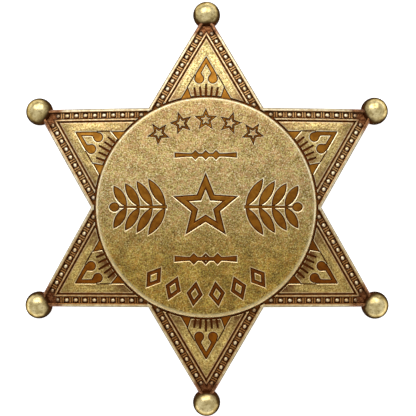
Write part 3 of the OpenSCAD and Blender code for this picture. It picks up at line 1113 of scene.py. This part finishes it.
# %% Wear and painted light of the star
# the top tint is a painted sheen of the soft box on the top arm; the bottom arm is made paler
TOP_SHEEN_TINT, BOTTOM_TINT = (0.95, 1.03, 1.14, 1), (1.25, 1.27, 1.36, 1)
TOP_FROM, TOP_TO = 14.0, 26.0
BOTTOM_FROM, BOTTOM_TO = -24.0, -19.0
STREAK_DARK, STREAK_PALE = (0.66, 0.62, 0.52, 1), (1.25, 1.24, 1.22, 1)
STREAK_STRETCH = (1, 0.08, 1)
STREAK_SHARE = 0.8
LEVEL_FRAME_Y = 14.5
LEVEL_FRAME_TINT = (0.85, 0.83, 0.82, 1)
# patina with the disc's painted shadow, in a ring round the disc
DISC_PATINA_SHADE = tone(100, 58, 18)
DISC_PATINA_SHADE_FROM, DISC_PATINA_SHADE_TO = 20.6, 22.8


def along_edge(n):
    """Distances across and along the nearest edge of the star, as the two parts of a vector."""
    angle = n.calc("ARCTAN2", n.along("X"), n.along("Y"))
    turn = n.calc("ADD", n.calc("PINGPONG", angle, math.pi / ARMS), math.pi / ARMS)
    across = n.calc("MULTIPLY", from_axis(n), n.calc("SINE", turn))
    along = n.calc("MULTIPLY", from_axis(n), n.calc("COSINE", turn))
    return n.add("ShaderNodeCombineXYZ", {0: across, 1: along}), across


def star_wear_and_light(n, colour, blush):
    up_face = n.along("Y")
    # painted sheen: the top arm paler and whiter
    colour = n.tinted(colour, TOP_SHEEN_TINT, n.fit(up_face, TOP_FROM, TOP_TO))
    colour = n.tinted(colour, BOTTOM_TINT, n.fit(up_face, BOTTOM_FROM, BOTTOM_TO, 1.0, 0.0))
    place, across = along_edge(n)
    stretched = n.add("ShaderNodeVectorMath", {0: place, 1: STREAK_STRETCH}, operation="MULTIPLY")
    streaks = n.noise(2.2, 2.0, 0.6, (0, 4, 0), stretched)
    streaks = n.mix(n.fit(streaks, 0.36, 0.62), STREAK_DARK, STREAK_PALE)
    on_frame = n.fit(across, FIELD_R - 0.1, FIELD_R + 0.1, 0.0, STREAK_SHARE)
    colour = n.tinted(colour, streaks, on_frame)
    from_level = n.calc("ABSOLUTE", n.calc("SUBTRACT", up_face, LEVEL_FRAME_Y))
    colour = n.tinted(colour, LEVEL_FRAME_TINT, n.fit(from_level, 0.6, 1.2, 1.0, 0.0))
    # patina with the disc's painted shadow, stronger on the lower half
    ring = n.fit(from_axis(n), DISC_PATINA_SHADE_FROM, DISC_PATINA_SHADE_TO, 1.0, 0.0)
    patina_shade = n.calc("MULTIPLY", n.calc("MULTIPLY", ring, by_half(n, 1.0, 0.6)),
                   n.fit(blush, 0.34, 0.56, 0.45, 1.0))
    colour = n.mix(patina_shade, colour, DISC_PATINA_SHADE)
    return n.mix(n.fit(from_axis(n), NECK_FROM, NECK_FROM + 0.8), colour, rough_neck(n))


# the last two tints: painted light on the upper half, painted shade on the lower half
rubbed(brass, star_wear_and_light, 1.0, 0.35, (0.97, 0.95, 0.95), (0.96, 0.91, 0.80))
print("star finish:", len(brass.node_tree.nodes), "nodes")

# %% [markdown]
# ## Rails, lips, floors, bars and beads
#
# The rail tops and beads meet the cloth first and are nearly white with wear. The rail's outer
# slope turns away from it and is grey-brown. The lips round the recesses catch the light as thin
# pale lines. Walls and floors keep the red-brown patina. The cross bars and the rails' shoulders
# lie between, so they are brown gold.
#
# Each could have a shader of its own, but they differ only in tones and in how far the cloth
# reaches, so one recipe takes those as numbers. A dark metal would still shine white at a grazing
# angle, so the patina's specular tint is brown.

# %% Recipe of a plain metal
NECK_SHARE = 0.85
# patina with the disc's painted shadow on the channel, bars and beads beside the disc
RING_PATINA_SHADE = tone(112, 68, 28)
RING_PATINA_SHADE_FROM, RING_PATINA_SHADE_TO = 20.4, 21.8


def plain_metal(material, light, low, per_mm, polish, bump_mm=0.01, corner=(0.35, 0.8),
                lower=(0.8, 0.72, 0.62), ring_shade_share=0.0, neck=NECK_SHARE, **sockets):
    """Metal in two tones. Corner gives how open a place must be to be rubbed bare."""
    n = Nodes(material)
    grain = n.noise(per_mm, 3.0, 0.6)
    # painted shade: the lower half takes the lower tint
    colour = shaded_by_half(n, n.mix(n.fit(grain, 0.35, 0.65), low, light), (1, 1, 1), lower)
    # patina with the disc's painted shadow beside the disc
    colour = n.mix(n.fit(from_axis(n), RING_PATINA_SHADE_FROM, RING_PATINA_SHADE_TO, ring_shade_share, 0.0), colour, RING_PATINA_SHADE)
    colour = n.mix(n.fit(from_axis(n), NECK_FROM, NECK_TO, 0.0, neck), colour, rough_neck(n))
    antiqued(n, colour, n.fit(n.openness(0.5), *corner), polish, grain, bump_mm, **sockets)


plain_metal(lip_brass, light=tone(214, 202, 168), low=tone(184, 162, 122), per_mm=1.6,
            polish=0.36, lower=(1.0, 0.94, 0.8), neck=0.95)
plain_metal(inner_brass, light=tone(218, 196, 152), low=tone(188, 150, 102), per_mm=1.6,
            polish=0.36, lower=(0.96, 0.86, 0.72))
plain_metal(slope_brass, light=tone(138, 124, 96), low=tone(98, 84, 58), per_mm=1.6,
            polish=0.5, lower=(0.9, 0.86, 0.72), neck=0.9)
plain_metal(edge_brass, light=tone(252, 240, 204), low=tone(224, 200, 150), per_mm=1.6,
            polish=0.4, corner=(0.1, 0.4), lower=(0.8, 0.7, 0.54))
plain_metal(dark_brass, light=tone(140, 74, 24), low=tone(100, 48, 14), per_mm=1.5,
            polish=0.6, **{"Specular Tint": tone(150, 84, 40)})
plain_metal(floor_brass, light=tone(136, 78, 30), low=tone(96, 50, 16), per_mm=2.6,
            polish=0.5, bump_mm=0.03, corner=(0.1, 0.5), lower=(1.02, 0.74, 0.44), ring_shade_share=0.8)
plain_metal(bar_brass, light=tone(204, 162, 106), low=tone(154, 110, 64), per_mm=2.6,
            polish=0.45, corner=(0.15, 0.6), lower=(0.8, 0.66, 0.5), ring_shade_share=0.8)
plain_metal(bead_brass, light=tone(255, 246, 214), low=tone(236, 206, 150), per_mm=1.6,
            polish=0.42, corner=(0.3, 0.65), ring_shade_share=0.5)
print("relief finishes ready")

# %% [markdown]
# ## Polished balls
#
# The balls were polished by hand, so each has a bright cap that leans outwards. The darker skirt
# round it is partly patina and partly painted shade at the ball's rim, and the ball is dimmed a
# little everywhere but round its top, which is painted shade too. The brown inner side where it
# meets its arm is patina with a painted shadow. A shader could find the cap by the normal, but
# that would give every ball a sharp circle. Here the height above the ball's middle and the
# distance out from it are added at a lean, and noise roughens the edge.

# %% Finish of the balls
CAP_LEAN = 12
CAP_FROM, CAP_TO = 1.15, 2.05
# painted shade: dims the ball everywhere but round its top
CAP_SHADE_TINT = (0.82, 0.78, 0.7, 1)


def ball_finish():
    n = Nodes(ball_brass)
    grain = n.noise(0.8, 3.0, 0.6)
    colour = n.mix(n.fit(grain, 0.35, 0.65), tone(188, 168, 112), tone(232, 214, 160))
    pits = n.noise(1.6, 4.0, 0.7, (4, 4, 0))
    colour = n.mix(n.fit(pits, 0.52, 0.66, 0.0, 0.6), colour, tone(136, 112, 62))
    up = n.calc("SUBTRACT", n.along("Z"), BALL_R)
    out = n.calc("SUBTRACT", from_axis(n), BALL_AT)
    lean = radians(CAP_LEAN)
    worn = n.calc("ADD", n.calc("MULTIPLY", up, cos(lean)), n.calc("MULTIPLY", out, sin(lean)))
    worn = n.calc("ADD", worn, n.fit(grain, 0.3, 0.7, -0.15, 0.15, smooth=False))
    cap = n.fit(worn, CAP_FROM, CAP_TO)
    # painted shade on the ball's sides, leaving the top lighter
    colour = n.tinted(colour, CAP_SHADE_TINT, n.fit(worn, 1.8, 2.3, 1.0, 0.0))
    # darker skirt: partly patina, partly painted shade at the ball's rim
    colour = n.mix(cap, tone(70, 54, 32), colour)
    # inner side: patina with a painted shadow where the ball meets its arm
    colour = n.mix(n.fit(out, -2.3, -1.3), tone(48, 24, 12), colour)
    # occlusion: patina with a painted shadow where the ball sits on the plate
    antiqued(n, colour, n.fit(n.openness(2.6), 0.62, 0.95), n.fit(cap, 0.0, 1.0, 0.5, 0.26),
             grain, 0.01, **{"Specular Tint": tone(104, 84, 58)})


ball_finish()
print("ball finish:", len(ball_brass.node_tree.nodes), "nodes")

# %% [markdown]
# ## Amber fill
#
# The enamel is a thin amber layer over brass, and the light comes back from the metal under it. A
# glass shader would show that, but it needs many samples and is lost in a bake. A metal shader in
# the colour of the amber, with a weak coat, gives the same warm gleam. The fill is darker inside
# the disc and towards the right side of the badge, where the darkening is painted shade away from
# the light. It is painted paler and whiter on the upper half and darker on the lower half, a
# painted sheen and shade, and darker along the walls, painted shade where the walls shade it.

# %% Finish of the enamel
GLOSS = {"Coat Weight": 0.08, "Coat Roughness": 0.2}
# darker fill: painted shade on the right side, and darker inside the disc
DARKER_FILL_TINT = (0.72, 0.66, 0.5, 1)
RIGHT_SHADE_FROM, RIGHT_SHADE_TO = 6.0, 20.0


def enamel_finish():
    n = Nodes(enamel)
    cloud = n.noise(0.7, 3.0, 0.6)
    colour = n.mix(n.fit(cloud, 0.4, 0.6), tone(134, 84, 14), tone(162, 108, 28))
    # painted sheen on the upper half and painted shade on the lower half
    colour = shaded_by_half(n, colour, (1.07, 1.12, 1.5), (0.74, 0.52, 0.1))
    # darker fill: painted shade towards the right side, and darker inside the disc
    thick = n.tinted(colour, DARKER_FILL_TINT)
    colour = n.mix(n.fit(n.along("X"), RIGHT_SHADE_FROM, RIGHT_SHADE_TO), colour, thick)
    in_disc = n.fit(from_axis(n), DISC_R, DISC_R + 0.4, 0.9, 0.0)
    colour = n.mix(in_disc, colour, thick)
    # painted shade: the fill darkens where the walls shade it
    colour = n.mix(n.fit(n.openness(0.4), 0.70, 0.96), tone(54, 24, 8), colour)
    n.surface(colour, METALLIC, 0.42, cloud, **GLOSS)


def enamel_edge_finish():
    """The brown outline along the walls, where the fill is thin and dull."""
    n = Nodes(enamel_edge)
    cloud = n.noise(1.5, 3.0, 0.6)
    colour = n.mix(n.fit(cloud, 0.4, 0.6), tone(66, 28, 6), tone(100, 50, 12))
    n.surface(colour, METALLIC, 0.7, cloud)


enamel_finish()
enamel_edge_finish()
print("enamel finish:", len(enamel.node_tree.nodes), "nodes")

# %% [markdown]
# ## Pin and hand-over
#
# The brooch pin on the back is drawn brass wire, plain and satin. It could be modelled anew, but
# its CAD node has the right shape already, so it only gets a metal. The four new pieces stand for
# the other nodes: each hides the node that it names and rides on the root body. The table also
# names a finish for each, which is not used.

# %% Dress the pin
pin_metal = bpy.data.materials.new("pin_brass")
plain_metal(pin_metal, light=tone(176, 150, 96), low=tone(140, 112, 66), per_mm=0.7, polish=0.4)
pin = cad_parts["pin_back"]
pin.data.materials.clear()
pin.data.materials.append(pin_metal)
print("pin dressed")

# %% Hand the pieces over
for piece, node_name, slot_name in ((star, "star", "cast_brass"), (disc, "centre_disc", "disc_brass"),
                                    (star_cells, "star_enamel", "amber_enamel"),
                                    (disc_cells, "disc_enamel", "amber_enamel")):
    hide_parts(node_name)
    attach(piece, "root")
    print(piece.name, "stands for", node_name)

# %% [markdown]
# ## Floor
#
# A badge for sale is shown on white paper that has no edge. A curved backdrop would need a wide
# view, so the paper is one large flat sheet. It glows a little, so that it is as white as its
# surroundings and still takes a faint shadow.

# %% Paper floor
bpy.ops.object.select_all(action="DESELECT")
bpy.ops.mesh.primitive_plane_add(size=4, location=(0, 0, 0))
floor = named("floor")
paper = bpy.data.materials.new("floor_paper")
n = Nodes(paper)
n.surface(tone(248, 248, 248), 0.0, 0.9,
          **{"Emission Color": tone(255, 255, 255), "Emission Strength": 0.75})
floor.data.materials.append(paper)
print("floor laid")

# %% [markdown]
# ## Light
#
# The top of the badge is bright and its lower slopes are dark, so the light is one wide soft box
# beyond the top edge, leaning over the badge. A small lamp would draw hard glints on every bead.
# An even white surrounding fills the rest, as a light tent does.

# %% Soft box and surroundings
KEY_LEAN, KEY_AROUND, KEY_FAR = radians(44), radians(99), 0.8
KEY_W, KEY_D = 1.1, 0.6
KEY_RADIANCE = 1.95
FILL = 0.75
key_place = KEY_FAR * Vector((sin(KEY_LEAN) * cos(KEY_AROUND), sin(KEY_LEAN) * sin(KEY_AROUND),
                              cos(KEY_LEAN)))
bpy.ops.object.select_all(action="DESELECT")
bpy.ops.object.light_add(type="AREA", location=key_place)
key = bpy.context.object
key.name = "key"
key.data.shape = "RECTANGLE"
key.data.size, key.data.size_y = KEY_W, KEY_D
key.data.energy = KEY_RADIANCE * math.pi * KEY_W * KEY_D
key.rotation_euler = key_place.to_track_quat("Z", "Y").to_euler()
world = bpy.data.worlds.new("studio")
world.use_nodes = True
world.node_tree.nodes["Background"].inputs["Color"].default_value = (1, 1, 1, 1)
world.node_tree.nodes["Background"].inputs["Strength"].default_value = FILL
bpy.context.scene.world = world
bpy.context.scene.view_settings.view_transform = "Standard"
print(f"key light of {key.data.energy:.2f} W")

# %% [markdown]
# ## Camera
#
# The balls look round and the far ones are no smaller, so the photo was taken from well above,
# a little to the lower right. The lens follows from the size of a ball in the picture. The camera
# could be aimed by hand, but here it looks at the point that the picture's middle shows.

# %% Camera above the badge
PIXELS = 416
BALL_PX = 13.63
STAR_PX = (206.6, 208.1)
MIDDLE_PX = PIXELS / 2
SENSOR = 36.0
PX_PER_MM = BALL_PX / BALL_R
CAMERA_AT = Vector((6.8, -8.9, 300.0))
BALL_PLANE = Vector((0, 0, BALL_R))
off = Vector((MIDDLE_PX - STAR_PX[0], STAR_PX[1] - MIDDLE_PX, 0)) / PX_PER_MM
bpy.ops.object.select_all(action="DESELECT")
bpy.ops.object.camera_add(location=CAMERA_AT * MM)
camera = bpy.context.object
back = (CAMERA_AT - BALL_PLANE - off).normalized()
right = Vector((0, 1, 0)).cross(back).normalized()
camera.rotation_euler = Matrix((right, back.cross(right), back)).transposed().to_euler()
camera.data.sensor_width = SENSOR
camera.data.lens = SENSOR * PX_PER_MM * (BALL_PLANE + off - CAMERA_AT).length / PIXELS
camera.data.clip_start = 0.01
bpy.context.scene.camera = camera
print(f"lens {camera.data.lens:.1f} mm, {PX_PER_MM:.3f} pixels a mm")
